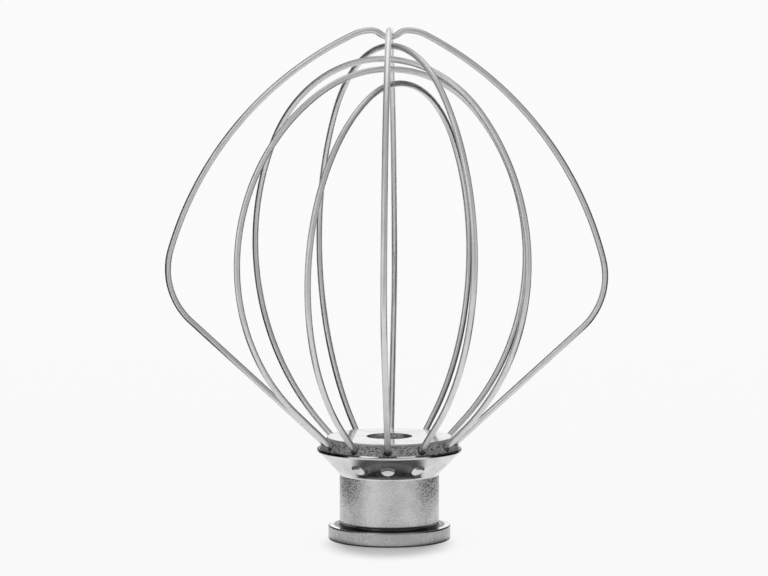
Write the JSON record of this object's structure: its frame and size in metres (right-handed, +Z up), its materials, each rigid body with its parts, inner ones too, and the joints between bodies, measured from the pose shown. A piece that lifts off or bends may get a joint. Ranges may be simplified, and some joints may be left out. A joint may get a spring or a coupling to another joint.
{
  "type": "stand mixer wire whisk",
  "caption": "Balloon-shaped wire whisk of nested bent wires clinched into a flanged metal hub with a bayonet socket for a mixer shaft.",
  "frame": {"origin": "centre of the shaft socket's mouth, on the hub's flat bottom face that the whisk stands on", "axes": "+Z up along the hub's axis towards the wires' crowns, +X in the plane of the outer wire that dips at its crown"},
  "size_m": [0.1445, 0.1428, 0.1672],
  "materials": {
    "hub_aluminium": "turned bright, gritty on the neck and band",
    "wire_steel": "drawn and tumbled, satin"
  },
  "bodies": {
    "root": {"hub": "hub_aluminium", "wire_loop_000": "wire_steel", "wire_loop_030": "wire_steel", "wire_loop_060": "wire_steel", "wire_loop_090": "wire_steel", "wire_loop_120": "wire_steel", "wire_loop_150": "wire_steel"}
  },
  "joints": []
}
